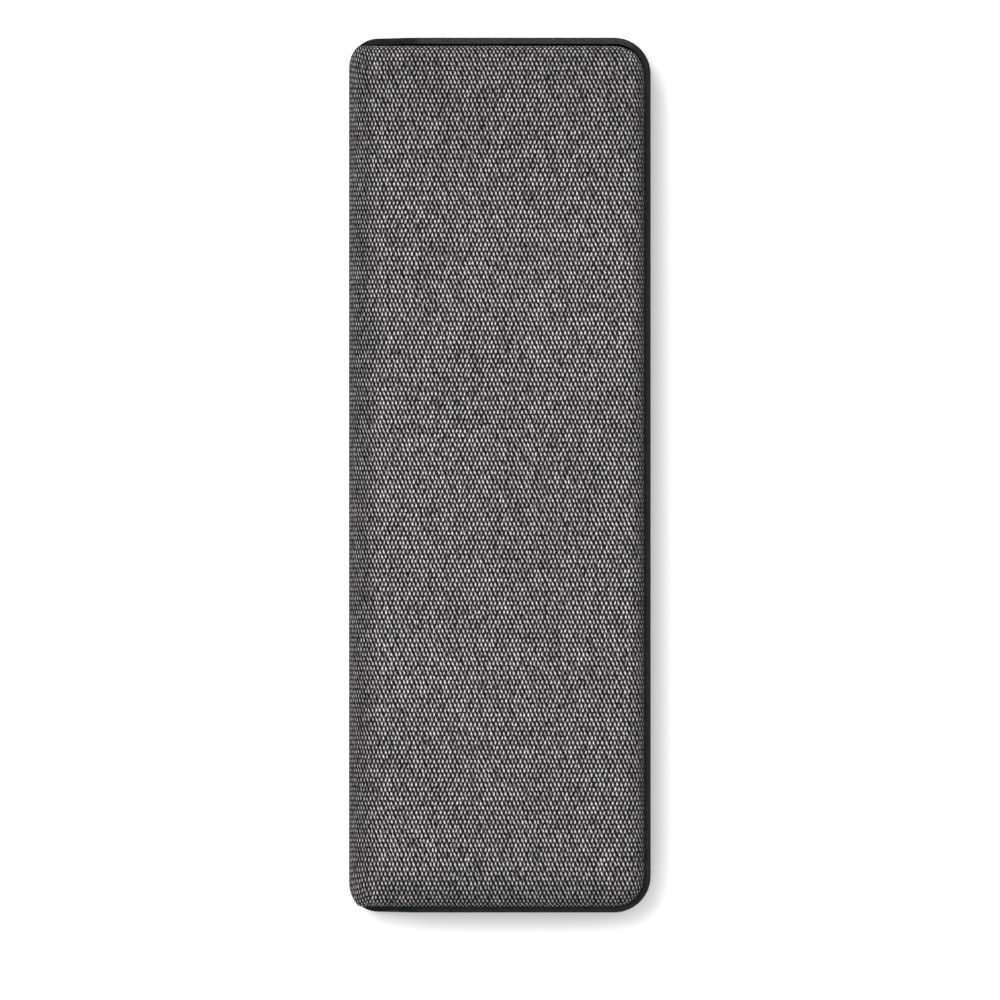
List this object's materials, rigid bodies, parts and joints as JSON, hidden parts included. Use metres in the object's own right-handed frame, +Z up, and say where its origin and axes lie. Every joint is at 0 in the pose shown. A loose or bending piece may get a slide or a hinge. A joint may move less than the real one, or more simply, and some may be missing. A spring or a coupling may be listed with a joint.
{
  "type": "wrist rest",
  "caption": "Low oblong wrist rest: a woven-fabric pad with a rounded waterfall front edge, set in a thin-rimmed plastic tray on rubber feet.",
  "frame": {"origin": "on the desk surface, under the centre of the outline", "axes": "+X along the rest, to the user's right; -Y is the front, the user's side, where the fabric rolls over; +Y is the rear, the keyboard side; +Z is up"},
  "size_m": [0.2, 0.069, 0.018],
  "materials": {
    "weave": "matte",
    "foam": "matte",
    "adhesive": "satin",
    "plate_plastic": "matte",
    "tray_plastic": "matte",
    "screw_steel": "satin",
    "foot_rubber": "matte"
  },
  "bodies": {
    "root": {"cover_fabric": "weave", "foam_cushion": "foam", "foam_adhesive": "adhesive", "carrier_plate": "plate_plastic", "base_tray": "tray_plastic", "assembly_screws": "screw_steel", "hem_tape_front": "adhesive", "hem_tape_rear": "adhesive", "hem_tape_left": "adhesive", "hem_tape_right": "adhesive", "foot_front_left": "foot_rubber", "foot_front_middle": "foot_rubber", "foot_front_right": "foot_rubber", "foot_rear_left": "foot_rubber", "foot_rear_middle": "foot_rubber", "foot_rear_right": "foot_rubber", "foot_adhesive_front_left": "adhesive", "foot_adhesive_front_middle": "adhesive", "foot_adhesive_front_right": "adhesive", "foot_adhesive_rear_left": "adhesive", "foot_adhesive_rear_middle": "adhesive", "foot_adhesive_rear_right": "adhesive"}
  },
  "joints": []
}
